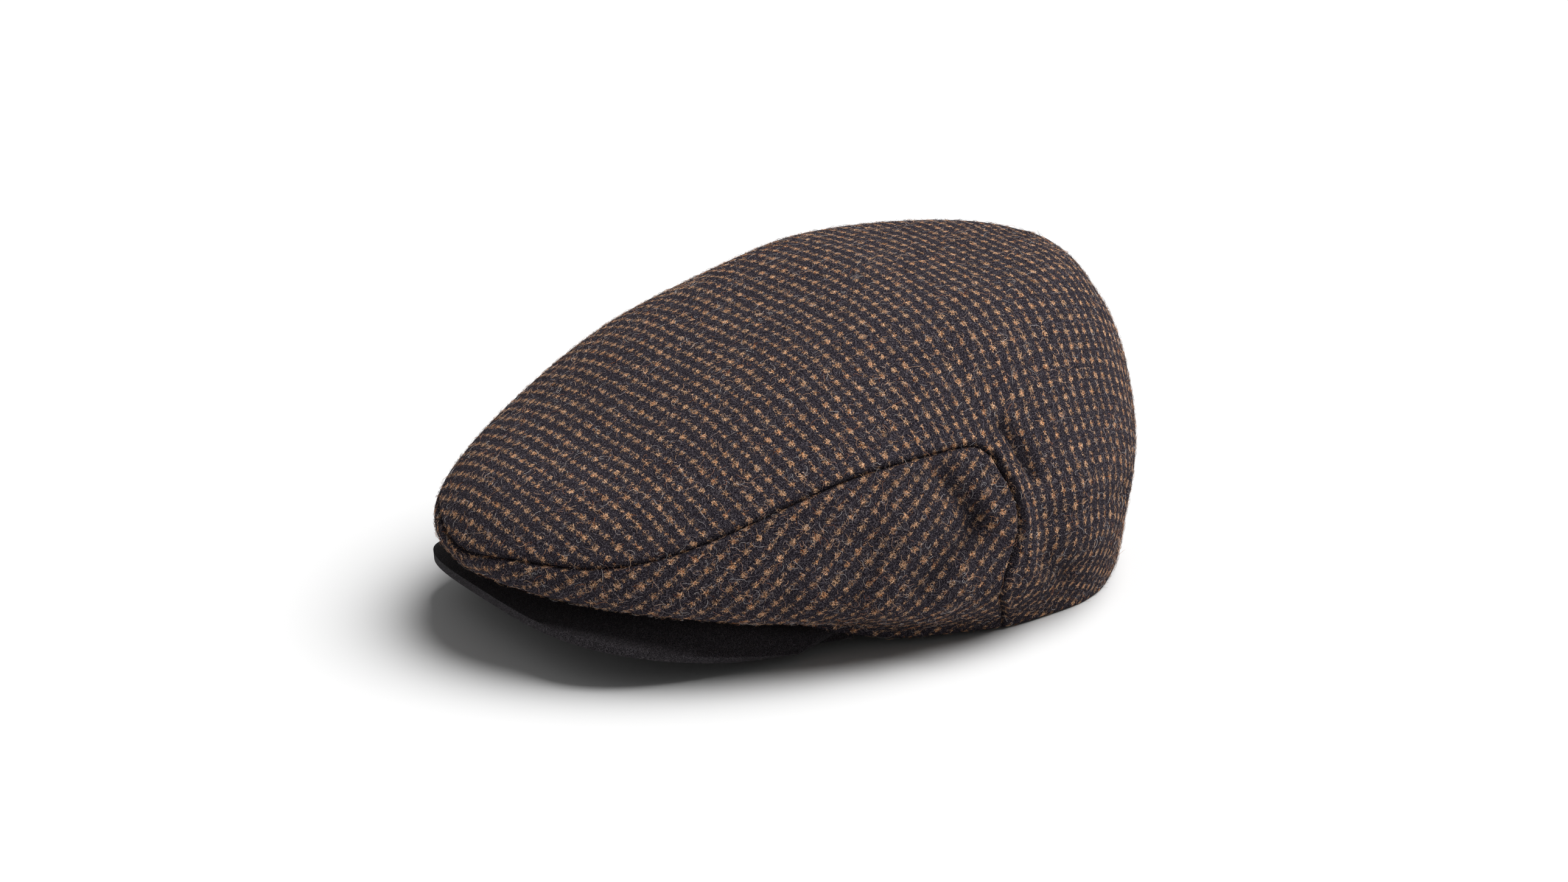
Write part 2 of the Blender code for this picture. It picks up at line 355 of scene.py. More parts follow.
def crowd_both(share):
    """Shares from 0 to 1, closer together near both ends."""
    low = 0.5 * (1.0 - crowd_end(np.clip(1.0 - 2.0 * share, 0.0, 1.0)))
    high = 0.5 * (1.0 + crowd_end(np.clip(2.0 * share - 1.0, 0.0, 1.0)))
    return np.where(share < 0.5, low, high)


print("tenths of the way to one seam:", crowd_end(np.linspace(0.0, 1.0, 11)).round(2))

# %% Angle and level of each crossing of the grid
FRONT_COLUMNS, BACK_COLUMNS = 108, 76
TOP_ROWS, LOW_ROWS, TURN_ROWS, INSIDE_ROWS = 64, 56, 6, 7
# The half round of the hem starts this far above level 1.
HEM_START = 0.0098


def column_angle(column):
    """Angle of a grid column, counted from the centre front to either side."""
    count = np.abs(column)
    ahead = EAR_ANGLE * crowd_end(np.minimum(count / FRONT_COLUMNS, 1.0))
    share = np.clip((count - FRONT_COLUMNS) / BACK_COLUMNS, 0.0, 1.0)
    behind = EAR_ANGLE + (180.0 - EAR_ANGLE) * crowd_both(share)
    return np.sign(column) * np.where(count <= FRONT_COLUMNS, ahead, behind)


def place(column, row):
    """Angle and level of a grid crossing above the hem's turn."""
    angle = column_angle(column)
    seam = seam_level(np.abs(angle))
    above = seam * crowd_end(np.clip(row / TOP_ROWS, 0.0, 1.0))
    share = crowd_both(np.clip((row - TOP_ROWS) / LOW_ROWS, 0.0, 1.0))
    low = seam + (1.0 - HEM_START - seam) * share
    level = np.where(row <= TOP_ROWS, above, low)
    return angle + np.where(row <= TOP_ROWS, 0.0, lean_at(angle, level)), level


print("columns to each side:", FRONT_COLUMNS + BACK_COLUMNS)
print("rows from the top to the hem:", TOP_ROWS + LOW_ROWS)

# %% The hem, turned under in a half round and up inside
HEM_ROUND, HEM_INSIDE_LEVEL = 1.3, 0.90
# Over this last stretch above the hem the way inwards turns level.
LEVEL_TURN, DOWN_STEP = 0.05, 0.02


def lay_on_crown(column, row, seams, ridge=False):
    """Places of grid crossings in metres, with the hem turned under and up inside."""
    last = TOP_ROWS + LOW_ROWS
    angle, level = place(column, np.minimum(row, last))
    turned = np.clip((row - last) / TURN_ROWS, 0.0, 1.0)
    inside = np.clip((row - last - TURN_ROWS) / INSIDE_ROWS, 0.0, 1.0)
    level = level + (HEM_INSIDE_LEVEL - level) * inside
    points = crown_face(angle, level, seams, ridge)
    inwards = -outward(angle, level)
    inwards[..., 2] *= np.clip((1.0 - level) / LEVEL_TURN, 0.0, 1.0)
    inwards = unit(inwards)
    hem = np.clip(level, 0.0, 1.0 - HEM_START)
    below_hem = smooth_crown(angle, np.minimum(hem + DOWN_STEP, 1.0))
    down = unit(below_hem - smooth_crown(angle, hem - DOWN_STEP))
    swing = turned * math.pi
    across = HEM_ROUND * MM * (1.0 - np.cos(swing))
    below = HEM_ROUND * MM * np.sin(swing)
    points = points + across[..., None] * inwards + below[..., None] * down
    points[..., 2] = np.maximum(points[..., 2], 0.0)
    return points


lowest = lay_on_crown(np.array([0.0]), np.array([TOP_ROWS + LOW_ROWS + TURN_ROWS / 2]), {})
print("lowest point of the hem at the centre front, in metres:", lowest[0].round(4))

# %% Helpers that make a grid a piece of cloth
CLOTH, WELD = 0.9, 0.005


def cloth_grid(columns, rows):
    """A bmesh grid whose vertices lie at whole numbers of columns and rows."""
    bm = bmesh.new()
    bmesh.ops.create_grid(bm, x_segments=columns, y_segments=rows, size=0.5)
    bmesh.ops.translate(bm, verts=bm.verts, vec=(0.5, 0.5, 0.0))
    bmesh.ops.scale(bm, verts=bm.verts, vec=(columns, rows, 1.0))
    return bm


def set_places(bm, points, painted_shades=None):
    """Moves the vertices, in their order, to the points, and notes their painted shades."""
    layer = bm.verts.layers.float.new("painted_shade")
    for number, vert in enumerate(bm.verts):
        vert.co = points[number]
        vert[layer] = 0.0 if painted_shades is None else painted_shades[number]


def new_piece(name, bm, material):
    """Puts a finished mesh in the scene, riding on the cap's one body."""
    mesh = bpy.data.meshes.new(name)
    bm.to_mesh(mesh)
    bm.free()
    mesh.materials.append(material)
    mesh.shade_smooth()
    piece = bpy.data.objects.new(name, mesh)
    bpy.context.scene.collection.objects.link(piece)
    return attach(piece, "root")


def give_thickness(piece, thickness):
    """Adds the cloth's thickness on the inner side, with the edges closed."""
    wall = piece.modifiers.new("cloth", "SOLIDIFY")
    wall.thickness = thickness * MM
    wall.offset = -1.0
    wall.use_even_offset = False
    return piece


print("cloth:", CLOTH, "mm thick")

# %% [markdown]
# ## The flat pattern
#
# A cutter lays each panel flat on the tweed, so the weave runs straight across it and
# bends with it on the cap. Projecting the weave on the finished cap would be quicker,
# but it would stretch on every slope and run straight through the seams. Blender's
# Unwrap lays the panel flat instead, and the flat pattern is then brought to its real
# size and turned to the grain. Yarns never run quite straight, so the pattern sways a
# little, and behind the ear seam it was pulled askew.

# %% Yarns pulled askew, and small waves: size and length in millimetres, degrees, start
PULL_RADIUS = 55.0
SWAYS = ((0.40, 83.0, 20.0, 0.0), (0.28, 47.0, 75.0, 1.9), (0.16, 24.0, -35.0, 4.1))
SWAY_SKEW = 1.3


def pulled(flat, centre, degrees):
    """The pattern's grain turned round one place, where the cloth was pulled askew."""
    away = flat - centre
    near = np.exp(-((np.linalg.norm(away, axis=1) / (PULL_RADIUS * MM)) ** 2))
    turn = math.radians(degrees) * near
    x = away[:, 0] * np.cos(turn) - away[:, 1] * np.sin(turn)
    y = away[:, 0] * np.sin(turn) + away[:, 1] * np.cos(turn)
    return centre + np.stack([x, y], 1)


def sway(flat):
    """Small waves: woven and brushed yarns never run quite straight."""
    moved = np.zeros_like(flat)
    for size, length, degrees, start in SWAYS:
        way = np.array([math.cos(math.radians(degrees)), math.sin(math.radians(degrees))])
        phase = flat @ way * math.tau / (length * MM) + start
        moved += size * MM * np.stack([np.sin(phase), np.cos(SWAY_SKEW * phase)], 1)
    return moved


print("sway at one place, in millimetres:", (sway(np.array([[0.1, 0.1]]))[0] / MM).round(2))

# %% Unwrap a panel, at its real size and with its grain turned
UNWRAP_ROUNDS = 12


def numbers_of(items, name, width=1, kind=float):
    """One property of all items as an array, with a row for each item."""
    values = np.zeros(len(items) * width, kind)
    items.foreach_get(name, values)
    return values.reshape(-1, width)


def unwrap(piece):
    """Lays a panel flat with as little stretch as Blender can find."""
    bpy.context.view_layer.objects.active = piece
    piece.select_set(True)
    bpy.ops.object.mode_set(mode="EDIT")
    bpy.ops.mesh.select_all(action="SELECT")
    bpy.ops.uv.unwrap(method="MINIMUM_STRETCH", iterations=UNWRAP_ROUNDS, margin=0.0)
    bpy.ops.object.mode_set(mode="OBJECT")
    piece.select_set(False)
    piece.data.uv_layers.active.name = "cloth"


def real_size(mesh, flat):
    """The panel's real area, and the factor that brings its flat places to that size."""
    mesh.calc_loop_triangles()
    a, b, c = numbers_of(mesh.loop_triangles, "vertices", 3, int).T
    spots = numbers_of(mesh.vertices, "co", 3)
    real = np.linalg.norm(np.cross(spots[b] - spots[a], spots[c] - spots[a]), axis=1).sum() / 2
    side_1, side_2 = flat[b] - flat[a], flat[c] - flat[a]
    drawn = np.abs(side_1[:, 0] * side_2[:, 1] - side_1[:, 1] * side_2[:, 0]).sum() / 2
    return real, math.sqrt(real / drawn)


def unfold(piece, forward, along=(0.0, 1.0), pulls=()):
    """Unwraps a panel into its flat pattern, in metres, turned so that forward, a pair
    of vertex numbers, points along the given way. Returns the pattern's sizes."""
    unwrap(piece)
    mesh = piece.data
    corner = numbers_of(mesh.loops, "vertex_index", 1, int)[:, 0]
    flat = np.zeros((len(mesh.vertices), 2))
    flat[corner] = numbers_of(mesh.uv_layers["cloth"].data, "uv", 2)
    area, scale = real_size(mesh, flat)
    way = flat[forward[1]] - flat[forward[0]]
    turn = math.atan2(along[1], along[0]) - math.atan2(way[1], way[0])
    cosine, sine = math.cos(turn) * scale, math.sin(turn) * scale
    flat = (flat - flat[forward[0]]) @ np.array([[cosine, sine], [-sine, cosine]])
    width, length = flat.max(0) - flat.min(0)
    for number, degrees in pulls:
        flat = pulled(flat, flat[number], degrees)
    mesh.uv_layers["cloth"].data.foreach_set("uv", (flat + sway(flat))[corner].ravel())
    print(f"{piece.name}: flat pattern {width:.3f} by {length:.3f} m, {area:.4f} square metres")
    return (float(width), float(length)), float(area)


def nearest_vertex(piece, point):
    """Number of the vertex that lies nearest to a point given in millimetres."""
    spots = numbers_of(piece.data.vertices, "co", 3)
    return int(np.argmin(np.linalg.norm(spots - np.array(point) * MM, axis=1)))


# %% The long top panel, slit at the centre back where its two ends are sewn together
PULL_ANGLE, PULL_LEVEL, PULL_TURN = 106.0, 0.70, -18.0
CROWN_TOP = (0, 39, 114)


def top_grid(half):
    """The top panel's grid, without the part of it where the side panels lie."""
    bm = cloth_grid(2 * half, TOP_ROWS + LOW_ROWS + TURN_ROWS + INSIDE_ROWS)
    cut_away = [
        face
        for face in bm.faces
        if face.calc_center_median().y > TOP_ROWS
        and abs(face.calc_center_median().x - half) < FRONT_COLUMNS
    ]
    bmesh.ops.delete(bm, geom=cut_away, context="FACES")
    return bm


def make_top_panel(material):
    """One piece of cloth from the centre front over the top and down the back."""
    half = FRONT_COLUMNS + BACK_COLUMNS
    bm = top_grid(half)
    crossing = np.array([[round(vert.co.x) - half, round(vert.co.y)] for vert in bm.verts])
    left, right = seam_lines(1), seam_lines(-1)
    seams = {
        "top left": left["top"],
        "top right": right["top"],
        "ear left": left["ear"],
        "ear right": right["ear"],
        "back": left["back"],
    }
    column, row = crossing.T
    # Painted shade for each vertex, from the folds and seams near it.
    painted_shades = painted_shade_of(*place(column, np.minimum(row, TOP_ROWS + LOW_ROWS)), seams)
    set_places(bm, lay_on_crown(column, row, seams, ridge=True), painted_shades)
    levels = place(column, row)[1]
    whole = [vert for vert, level in zip(bm.verts, levels) if level < BACK_SEAM_TOP]
    bmesh.ops.remove_doubles(bm, verts=whole, dist=WELD * MM)
    bmesh.ops.reverse_faces(bm, faces=bm.faces)
    panel = new_piece("tweed_top_panel", bm, material)
    top = nearest_vertex(panel, CROWN_TOP)
    brow = nearest_vertex(panel, smooth_crown(0.0, seam_level(0.0)))
    pulls = [
        (nearest_vertex(panel, smooth_crown(side * PULL_ANGLE, PULL_LEVEL)), side * PULL_TURN)
        for side in (1, -1)
    ]
    flat, area = unfold(panel, (top, brow), pulls=pulls)
    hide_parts("crown_top")
    return give_thickness(panel, CLOTH)


print("cloth pulled by", -PULL_TURN, "degrees behind each ear seam")

# %% A leaf-shaped side panel, cut with its grain at an angle to the top panel's
SIDE_GRAIN = 60.0


def make_side_panel(name, side, node, material):
    """A side panel; side is 1 on the left and -1 on the right."""
    bm = cloth_grid(FRONT_COLUMNS, LOW_ROWS + TURN_ROWS + INSIDE_ROWS)
    crossing = np.array([[round(vert.co.x), round(vert.co.y) + TOP_ROWS] for vert in bm.verts])
    column, row = crossing.T
    lines = seam_lines(side)
    seams = {"top": lines["top"], "ear": lines["ear"], "front": lines["front"]}
    # Painted shade for each vertex, from the folds and seams near it.
    painted_shades = painted_shade_of(*place(side * column, np.minimum(row, TOP_ROWS + LOW_ROWS)), seams)
    set_places(bm, lay_on_crown(side * column, row, seams), painted_shades)
    if side > 0:
        bmesh.ops.reverse_faces(bm, faces=bm.faces)
    panel = new_piece(name, bm, material)
    ear = nearest_vertex(panel, smooth_crown(side * EAR_ANGLE, seam_level(EAR_ANGLE)))
    brow = nearest_vertex(panel, smooth_crown(0.0, seam_level(0.0)))
    grain = math.radians(90.0 + side * SIDE_GRAIN)
    flat, area = unfold(panel, (ear, brow), along=(math.cos(grain), math.sin(grain)))
    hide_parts(node)
    return give_thickness(panel, CLOTH)


print("grain of a side panel:", SIDE_GRAIN, "degrees off the line from its ear corner to its front")

# %% [markdown]
# ## The peak
#
# The peak is a stiff board with a bend in it, so its edge is round and even and it
# doesn't sag. A flat outline could be bent with a modifier, but its root would then not
# follow the hem. So its upper face is a grid again, drawn between two lines: the root,
# which lies just under the hem, and the rim. Solidify gives it the board's thickness,
# and Bevel rolls the cloth round its edge.

# %% The root and the rim, in millimetres
PEAK_FRONT_Y, PEAK_SQUARENESS, PEAK_LOW_Y = -126.1, 3.55, -41.8
PEAK_RIM_LOW, PEAK_RIM_RISE, PEAK_SWEEP = 4.5, 16.4, 1.3
PEAK_END_ANGLE, PEAK_WAIST = 60.0, 3.9
PEAK_TUCK, PEAK_TUCK_RISE, STITCH_GAP = 4.2, 2.2, 0.4
HEM_MIDDLE = RINGS[1.00][RING_NAMES.index("middle")]


def peak_root(share, tuck=PEAK_TUCK):
    """Inner edge of the peak's upper face; share runs from -1 to 1 round the peak."""
    hem = smooth_crown(PEAK_END_ANGLE * share, np.ones_like(share))
    inwards = np.stack([-hem[..., 0], HEM_MIDDLE - hem[..., 1], 0.0 * share], -1)
    root = hem + tuck * unit(inwards) - np.array([0.0, 0.0, STITCH_GAP])
    root[..., 2] += PEAK_TUCK_RISE * share**2 * tuck / PEAK_TUCK
    return root


def peak_rim(share):
    """Outer edge of the peak's upper face."""
    end_x, end_y, end_z = peak_root(np.array(1.0), tuck=0.0)
    turn = np.radians(90.0 * np.abs(share))
    power = 2.0 / PEAK_SQUARENESS
    x = np.sign(share) * end_x * np.sin(turn) ** power
    y = end_y + (PEAK_FRONT_Y - end_y) * np.clip(np.cos(turn), 0.0, 1.0) ** power
    forward = np.maximum(PEAK_LOW_Y - y, 0.0) / (PEAK_LOW_Y - PEAK_FRONT_Y)
    rearward = np.maximum(y - PEAK_LOW_Y, 0.0) / (end_y - PEAK_LOW_Y)
    x = x - np.sign(share) * PEAK_WAIST * 4.0 * rearward * (1.0 - rearward)
    z = PEAK_RIM_LOW + PEAK_RIM_RISE * forward**PEAK_SWEEP
    z = z + (end_z - PEAK_RIM_LOW) * rearward**2
    return np.stack([x, y, z], -1)


rim = peak_rim(np.linspace(-1.0, 1.0, 201))
print(f"peak: {np.ptp(rim[:, 0]):.0f} mm across, and its front edge is {rim[:, 2].max():.1f} mm up")

# %% The board between them, thinner towards its two ends
PEAK_COLUMNS, PEAK_ROWS, PEAK_ARCH = 160, 22, 4.0
PEAK_BOARD, PEAK_ROUND, PEAK_THINNING, PEAK_THIN_END = 3.2, 1.45, 0.16, 0.25


def make_peak(material):
    """The stiff peak, with its cover rolled round its edge."""
    bm = cloth_grid(PEAK_COLUMNS, PEAK_ROWS)
    crossing = np.array([[vert.co.x / PEAK_COLUMNS, vert.co.y / PEAK_ROWS] for vert in bm.verts])
    share, out = 2.0 * crossing[:, 0] - 1.0, crossing[:, 1]
    points = peak_root(share) * (1.0 - out)[:, None] + peak_rim(share) * out[:, None]
    points[:, 2] += PEAK_ARCH * (1.0 - share**4) * np.sin(math.pi * out) ** 2
    set_places(bm, points * MM)
    bmesh.ops.reverse_faces(bm, faces=bm.faces)
    peak = new_piece("peak_cover", bm, material)
    taper = peak.vertex_groups.new(name="taper")
    for number, reach in enumerate(np.abs(share)):
        taper.add([number], min(1.0, (1.0 - reach) / PEAK_THINNING), "REPLACE")
    board = peak.modifiers.new("board", "SOLIDIFY")
    board.thickness = PEAK_BOARD * MM
    board.offset = -1.0
    board.use_even_offset = False
    board.vertex_group = taper.name
    board.thickness_vertex_group = PEAK_THIN_END
    edge = peak.modifiers.new("rolled edge", "BEVEL")
    edge.width = PEAK_ROUND * MM
    edge.segments = 4
    edge.limit_method = "ANGLE"
    edge.angle_limit = math.radians(50.0)
    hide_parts("peak")
    return peak


print("board of the peak:", PEAK_BOARD, "mm thick, and", PEAK_BOARD * PEAK_THIN_END, "mm at its ends")

# %% [markdown]
# ## Making materials with nodes
#
# A material is a small machine of nodes. Wiring it by hand in the editor is easiest to
# see, but hard to repeat, so short helpers add a node and wire it in one line. A Mix
# node has several pairs of sockets with the same names, so its colours go by number.

# %% Helpers that add a node and return its outlet
MIX_BELOW, MIX_ABOVE, MIX_RESULT = 6, 7, 2


def add_node(tree, kind, inputs=None, **settings):
    """Adds a shader node. Inputs are numbers or the outlets of other nodes."""
    node = tree.nodes.new(kind)
    for name, value in settings.items():
        setattr(node, name, value)
    for socket, value in (inputs or {}).items():
        if isinstance(value, bpy.types.NodeSocket):
            tree.links.new(value, node.inputs[socket])
        else:
            node.inputs[socket].default_value = value
    return node


def sum_of(tree, operation, *values):
    """One step of arithmetic, such as ADD or MULTIPLY."""
    values = dict(enumerate(values))
    return add_node(tree, "ShaderNodeMath", values, operation=operation).outputs[0]


def fade(tree, value, start, end, low=0.0, high=1.0):
    """Turns a value between start and end smoothly into one between low and high."""
    inputs = {"From Min": start, "From Max": end, "To Min": low, "To Max": high, "Value": value}
    kind = "ShaderNodeMapRange"
    return add_node(tree, kind, inputs, interpolation_type="SMOOTHSTEP").outputs[0]


def blend_colours(tree, share, below, above):
    """A mix of two colours."""
    node = add_node(tree, "ShaderNodeMix", {"Factor": share}, data_type="RGBA")
    for socket, colour in ((node.inputs[MIX_BELOW], below), (node.inputs[MIX_ABOVE], above)):
        if isinstance(colour, bpy.types.NodeSocket):
            tree.links.new(colour, socket)
        else:
            socket.default_value = (*colour, 1.0)
    return node.outputs[MIX_RESULT]


def noise(tree, place, scale, detail=0.0, roughness=0.5):
    """Soft random clouds; scale counts them for each unit of the place."""
    inputs = {"Vector": place, "Scale": scale, "Detail": detail, "Roughness": roughness}
    return add_node(tree, "ShaderNodeTexNoise", inputs).outputs["Fac"]


def shifted(tree, place, offset, stretch=(1.0, 1.0, 1.0)):
    """The place moved by an offset and scaled, which gives a noise another pattern."""
    inputs = {"Vector": place, "Location": offset, "Scale": stretch}
    return add_node(tree, "ShaderNodeMapping", inputs).outputs[0]


def new_material(name):
    """A material with an empty tree, and its main shader."""
    material = bpy.data.materials.new(name)
    material.use_nodes = True
    tree = material.node_tree
    return material, tree, tree.nodes["Principled BSDF"]


print("materials so far:", len(bpy.data.materials))

# %% [markdown]
# ## The tweed
#
# The cloth is woven of charcoal yarn with a tan yarn that comes to the face at each
# crossing of a grid: a large speck, and a small one halfway across. Then it is brushed,
# which pulls the specks into stars and covers all of it with short curly fibres. A
# picture of tweed would be quick, but it would blur close up. Here the grid comes from
# the flat pattern's own coordinates, in millimetres, so it runs with each panel's grain
# and meets the next panel's at an angle at every seam, as cut cloth does.

# %% Curly strands: the thin contour lines of a soft noise
MIDDLE_HEIGHT, STRAND_CORE = 0.5, 0.25


def strands(tree, place, scale, thickness, offset):
    """Thin curly lines, as 0 and 1; thickness is a share of the noise's own range."""
    height = noise(tree, shifted(tree, place, (offset, -offset, offset)), scale)
    away = sum_of(tree, "ABSOLUTE", sum_of(tree, "SUBTRACT", height, MIDDLE_HEIGHT))
    return fade(tree, away, thickness, STRAND_CORE * thickness)


# %% The grid of specks, in millimetres; jitter and shape are shares of a cell
SPECK_LENGTHWISE, SPECK_ACROSS, SMALL_SPECK_AT = 4.95, 6.2, 0.46
JITTER, SHAPE_LENGTHWISE, SHAPE_ACROSS = 0.09, 1.1, 0.88
# The two rows of specks draw their random colours apart, by a third number.
ROWS_APART = 7.0


def vector_sum(tree, operation, *values, outlet=0):
    """One step of arithmetic on vectors."""
    values = dict(enumerate(values))
    return add_node(tree, "ShaderNodeVectorMath", values, operation=operation).outputs[outlet]


def speck_row(tree, place, shift):
    """The distance to the centre of a grid's nearest speck, and its random colour."""
    cell = (1.0 / SPECK_ACROSS, 1.0 / SPECK_LENGTHWISE, 0.0)
    grid = shifted(tree, place, (0.5 - shift, 0.5, shift), cell)
    number = vector_sum(tree, "FLOOR", grid)
    label = vector_sum(tree, "ADD", number, (0.0, 0.0, ROWS_APART * shift))
    draw = add_node(tree, "ShaderNodeTexWhiteNoise", {"Vector": label}).outputs["Color"]
    share = vector_sum(tree, "SUBTRACT", vector_sum(tree, "FRACTION", grid), (0.5, 0.5, 0.0))
    share = vector_sum(tree, "MULTIPLY_ADD", draw, (JITTER, JITTER, 0.0), share)
    size = (SHAPE_ACROSS * SPECK_ACROSS, SHAPE_LENGTHWISE * SPECK_LENGTHWISE, 0.0)
    real = vector_sum(tree, "MULTIPLY", share, size)
    return vector_sum(tree, "LENGTH", real, outlet=1), draw


print("specks to a square of 10 by 10 cm:", round(2 * 100 / SPECK_LENGTHWISE * 100 / SPECK_ACROSS))

# %% One speck; sizes and edges in millimetres
LARGE_SPECK, SMALL_SPECK, SPECK_VARIES = 0.88, 0.44, (0.80, 1.18)
RAGGEDNESS, CORE_EDGE, RING_EDGE = 4.6, (-0.05, -0.35), (0.45, 0.0)


def speck(tree, away, draw, size, fibres, ragged):
    """A tuft: a ragged core, and a wider ring in which only single fibres show."""
    luck = add_node(tree, "ShaderNodeSeparateColor", {"Color": draw}).outputs[0]
    radius = fade(tree, luck, 0.0, 1.0, *(share * size for share in SPECK_VARIES))
    uneven = sum_of(tree, "MULTIPLY_ADD", ragged, RAGGEDNESS, away)
    rough = sum_of(tree, "SUBTRACT", uneven, radius)
    core = fade(tree, rough, *CORE_EDGE)
    ring = fade(tree, rough, *RING_EDGE)
    return sum_of(tree, "MAXIMUM", core, sum_of(tree, "MULTIPLY", ring, fibres))


# %% The charcoal ground, and the grey fibres that lie in it
CHARCOAL_DARK, CHARCOAL = (0.0008, 0.0006, 0.0012), (0.0215, 0.0180, 0.0265)
GREY_FIBRE = (0.150, 0.130, 0.148)
GRAIN, GRAIN_EDGE = {"scale": 3.2, "detail": 1.0, "roughness": 0.7}, (0.42, 0.60)
FINE = {"scale": 1.55, "thickness": 0.085, "offset": 31.0}
FINER = {"scale": 2.3, "thickness": 0.10, "offset": 11.0}
BREAK_SHIFT, BREAK_SCALE, BREAK_EDGE = (8.0, 2.0, 0.0), 1.4, (0.42, 0.56)
FINE_GREY, FINER_GREY, FINER_STRENGTH = 0.80, 0.30, 0.85


def charcoal_ground(tree, flat):
    """The ground's colour, its grain, its fine broken strands, and all its fibres."""
    grain = noise(tree, flat, **GRAIN)
    finer = strands(tree, flat, **FINER)
    breaks = fade(tree, noise(tree, shifted(tree, flat, BREAK_SHIFT), BREAK_SCALE), *BREAK_EDGE)
    fine = sum_of(tree, "MULTIPLY", strands(tree, flat, **FINE), breaks)
    ground = blend_colours(tree, fade(tree, grain, *GRAIN_EDGE), CHARCOAL_DARK, CHARCOAL)
    ground = blend_colours(tree, sum_of(tree, "MULTIPLY", finer, FINER_GREY), ground, GREY_FIBRE)
    ground = blend_colours(tree, sum_of(tree, "MULTIPLY", fine, FINE_GREY), ground, GREY_FIBRE)
    fibres = sum_of(tree, "MAXIMUM", fine, sum_of(tree, "MULTIPLY", finer, FINER_STRENGTH))
    return ground, grain, fine, fibres


# %% Where the specks are
RAGGED = {"scale": 1.25, "detail": 2.0, "roughness": 0.7}
SMALL_SPECK_STRENGTH = 0.72


def speckled(tree, flat, fibres):
    """How much tan yarn shows, from 0 to 1, and the random colours of its specks."""
    ragged = sum_of(tree, "SUBTRACT", noise(tree, flat, **RAGGED), MIDDLE_HEIGHT)
    large_away, draw = speck_row(tree, flat, 0.0)
    small_away, small_draw = speck_row(tree, flat, SMALL_SPECK_AT)
    large = speck(tree, large_away, draw, LARGE_SPECK, fibres, ragged)
    small = speck(tree, small_away, small_draw, SMALL_SPECK, fibres, ragged)
    small = sum_of(tree, "MULTIPLY", small, SMALL_SPECK_STRENGTH)
    return sum_of(tree, "MAXIMUM", large, small), draw


# %% The tan yarn: gold in some specks, dull in others, dark between its own fibres
TAN_DARK, TAN, TAN_GOLD = (0.035, 0.011, 0.005), (0.50, 0.156, 0.054), (0.58, 0.222, 0.066)
TAN_LIGHT = (1.00, 0.66, 0.42)
MOST_GOLD, DULLEST_SPECK, DULL_EDGE = 0.8, 0.62, (0.45, 0.0)
STREAK_SHIFT, STREAK = (3.0, 3.0, 3.0), {"scale": 1.9, "detail": 1.0, "roughness": 0.6}
STREAK_GAP, GRAIN_GAP, LIT_EDGE, LEAST_LIT = (0.56, 0.42), (0.52, 0.38), (0.40, 0.54), 0.50


def tan_yarn(tree, flat, draw, grain, fibres):
    """The yarn's colour, with the brushed fibres on it catching the light."""
    luck = add_node(tree, "ShaderNodeSeparateColor", {"Color": draw}).outputs
    tan = blend_colours(tree, sum_of(tree, "MULTIPLY", luck[1], MOST_GOLD), TAN, TAN_GOLD)
    tan = blend_colours(tree, fade(tree, luck[2], *DULL_EDGE, 0.0, DULLEST_SPECK), tan, TAN_DARK)
    streak = noise(tree, shifted(tree, flat, STREAK_SHIFT), **STREAK)
    gaps = (fade(tree, streak, *STREAK_GAP), fade(tree, grain, *GRAIN_GAP))
    tan = blend_colours(tree, sum_of(tree, "MAXIMUM", *gaps), tan, TAN_DARK)
    lit = sum_of(tree, "MULTIPLY", fibres, fade(tree, streak, *LIT_EDGE, LEAST_LIT, 1.0))
    return blend_colours(tree, lit, tan, TAN_LIGHT)


# %% The whole tweed
# The first number is how far painted shade darkens the colour towards the darkest charcoal.
DARKEST_PAINTED_SHADE, FINE_RELIEF, TWEED_RELIEF = 0.50, 0.35, 0.0004


def in_painted_shade(tree, colour):
    """The colour with painted shade: darker where the cloth lies in a fold or a seam."""
    painted_shade = add_node(tree, "ShaderNodeAttribute", attribute_name="painted_shade").outputs["Fac"]
    painted_shade = sum_of(tree, "MULTIPLY", painted_shade, DARKEST_PAINTED_SHADE)
    return blend_colours(tree, painted_shade, colour, CHARCOAL_DARK)


def raise_nap(tree, shader, height, depth):
    """Wires a height, as a relief of a depth in metres, to the shader's normal."""
    inputs = {"Height": height, "Strength": 1.0, "Distance": depth}
    tree.links.new(add_node(tree, "ShaderNodeBump", inputs).outputs[0], shader.inputs["Normal"])


def in_millimetres(tree, place):
    """A place in metres, counted in millimetres."""
    return shifted(tree, place, (0.0, 0.0, 0.0), (1000.0, 1000.0, 1000.0))


def make_tweed():
    """Charcoal and tan tweed, drawn on a panel's flat pattern."""
    material, tree, shader = new_material("brushed_tweed")
    uv = add_node(tree, "ShaderNodeUVMap", uv_map="cloth").outputs[0]
    flat = in_millimetres(tree, uv)
    ground, grain, fine, fibres = charcoal_ground(tree, flat)
    speckle, draw = speckled(tree, flat, fibres)
    tan = tan_yarn(tree, flat, draw, grain, fibres)
    # The colour gets its painted shade in folds and seams.
    colour = in_painted_shade(tree, blend_colours(tree, speckle, ground, tan))
    tree.links.new(colour, shader.inputs["Base Color"])
    relief = sum_of(tree, "MULTIPLY_ADD", fine, FINE_RELIEF, grain)
    raise_nap(tree, shader, relief, TWEED_RELIEF)
    shader.inputs["Roughness"].default_value = 0.95
    shader.inputs["Specular IOR Level"].default_value = 0.01
    print("nodes in the tweed:", len(tree.nodes))
    return material


